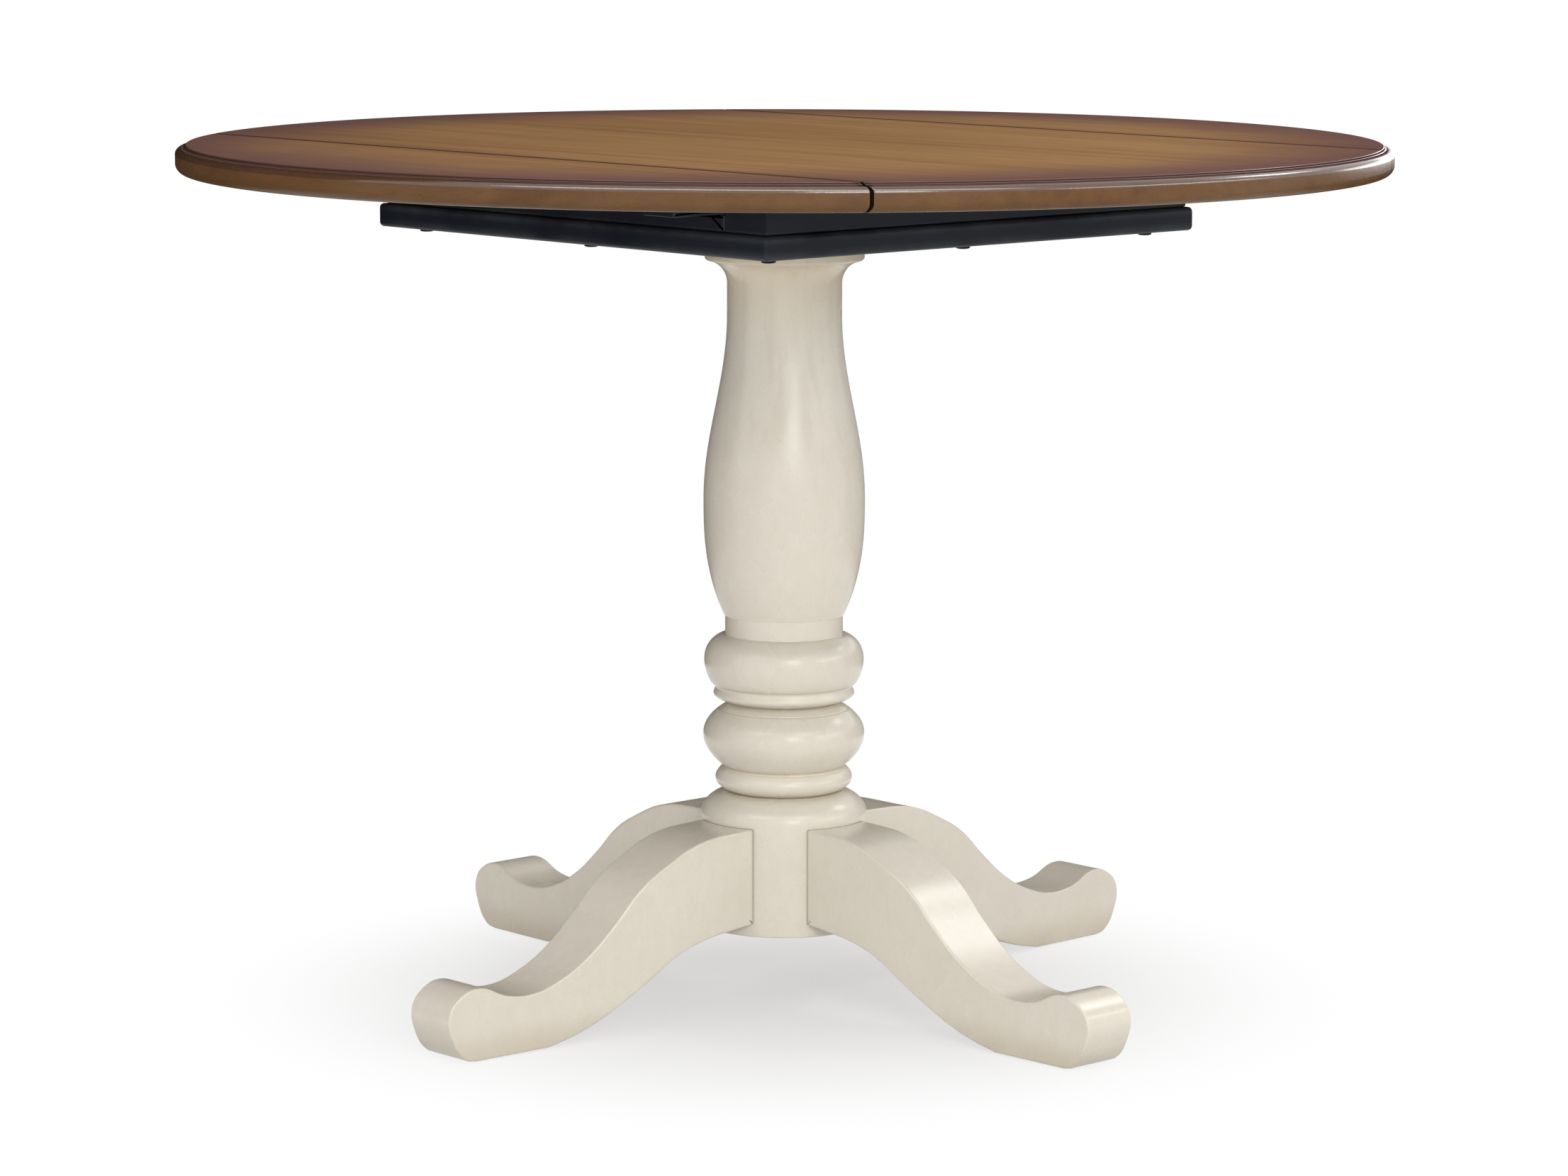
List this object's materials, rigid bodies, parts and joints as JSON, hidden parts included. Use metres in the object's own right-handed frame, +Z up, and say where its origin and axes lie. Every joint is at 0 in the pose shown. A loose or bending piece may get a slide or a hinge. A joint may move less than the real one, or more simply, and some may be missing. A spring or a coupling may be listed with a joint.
{
  "type": "drop-leaf dining table",
  "caption": "Round drop-leaf pedestal table: brown wood top with hinged leaves on pull-out supports, black underframe, turned cream column and scrolled legs.",
  "frame": {"origin": "on the floor, below the middle of the round top", "axes": "+Z up; X across the two hinge lines, towards the leaves; Y along the hinge lines"},
  "size_m": [1.0668, 1.0668, 0.765],
  "materials": {
    "brown_wood": "stained and lacquered, satin",
    "cream_paint": "satin cream paint on wood",
    "black_paint": "satin black paint on wood",
    "birch": "bare wood",
    "hinge_metal": "brass-plated steel",
    "zinc_steel": "zinc-plated, semi-gloss",
    "nylon": "matte nylon"
  },
  "bodies": {
    "table": {"apron_rail_back": "black_paint", "apron_rail_front": "black_paint", "apron_rail_left": "black_paint", "apron_rail_right": "black_paint", "base_board": "black_paint", "board_bolt_1": "zinc_steel", "board_bolt_2": "zinc_steel", "board_bolt_3": "zinc_steel", "board_bolt_4": "zinc_steel", "board_bolt_5": "zinc_steel", "board_bolt_6": "zinc_steel", "board_bolt_7": "zinc_steel", "board_bolt_8": "zinc_steel", "center_panel": "brown_wood", "column_screw_1": "zinc_steel", "column_screw_2": "zinc_steel", "column_screw_3": "zinc_steel", "column_screw_4": "zinc_steel", "foot_glide_back": "nylon", "foot_glide_front": "nylon", "foot_glide_left": "nylon", "foot_glide_right": "nylon", "hinge_left_back_panel_plate": "hinge_metal", "hinge_left_back_pin": "hinge_metal", "hinge_left_front_panel_plate": "hinge_metal", "hinge_left_front_pin": "hinge_metal", "hinge_right_back_panel_plate": "hinge_metal", "hinge_right_back_pin": "hinge_metal", "hinge_right_front_panel_plate": "hinge_metal", "hinge_right_front_pin": "hinge_metal", "leg_back": "cream_paint", "leg_bolt_back_high": "zinc_steel", "leg_bolt_back_low": "zinc_steel", "leg_bolt_front_high": "zinc_steel", "leg_bolt_front_low": "zinc_steel", "leg_bolt_left_high": "zinc_steel", "leg_bolt_left_low": "zinc_steel", "leg_bolt_right_high": "zinc_steel", "leg_bolt_right_low": "zinc_steel", "leg_front": "cream_paint", "leg_left": "cream_paint", "leg_right": "cream_paint", "pedestal_column": "cream_paint", "support_runner_back": "birch", "support_runner_front": "birch"},
    "leaf_left": {"leaf_left": "brown_wood", "hinge_left_front_leaf_plate": "hinge_metal", "hinge_left_back_leaf_plate": "hinge_metal"},
    "leaf_support_left_front": {"leaf_support_left_front": "black_paint", "leaf_support_left_front_stop": "birch"},
    "leaf_support_left_back": {"leaf_support_left_back": "black_paint", "leaf_support_left_back_stop": "birch"},
    "leaf_right": {"leaf_right": "brown_wood", "hinge_right_front_leaf_plate": "hinge_metal", "hinge_right_back_leaf_plate": "hinge_metal"},
    "leaf_support_right_front": {"leaf_support_right_front": "black_paint", "leaf_support_right_front_stop": "birch"},
    "leaf_support_right_back": {"leaf_support_right_back": "black_paint", "leaf_support_right_back_stop": "birch"}
  },
  "joints": [
    {"name": "leaf_left_hinge", "type": "hinge", "parent": "table", "child": "leaf_left", "pos_m": [-0.308, 0, 0.7375], "axis": [0, 1, 0], "range_deg": [-90, 0]},
    {"name": "leaf_right_hinge", "type": "hinge", "parent": "table", "child": "leaf_right", "pos_m": [0.308, 0, 0.7375], "axis": [0, -1, 0], "range_deg": [-90, 0]},
    {"name": "leaf_support_left_front_slide", "type": "slide", "parent": "table", "child": "leaf_support_left_front", "axis": [-1, 0, 0], "range_m": [0, 0.095]},
    {"name": "leaf_support_left_back_slide", "type": "slide", "parent": "table", "child": "leaf_support_left_back", "axis": [-1, 0, 0], "range_m": [0, 0.095]},
    {"name": "leaf_support_right_front_slide", "type": "slide", "parent": "table", "child": "leaf_support_right_front", "axis": [1, 0, 0], "range_m": [0, 0.095]},
    {"name": "leaf_support_right_back_slide", "type": "slide", "parent": "table", "child": "leaf_support_right_back", "axis": [1, 0, 0], "range_m": [0, 0.095]}
  ]
}
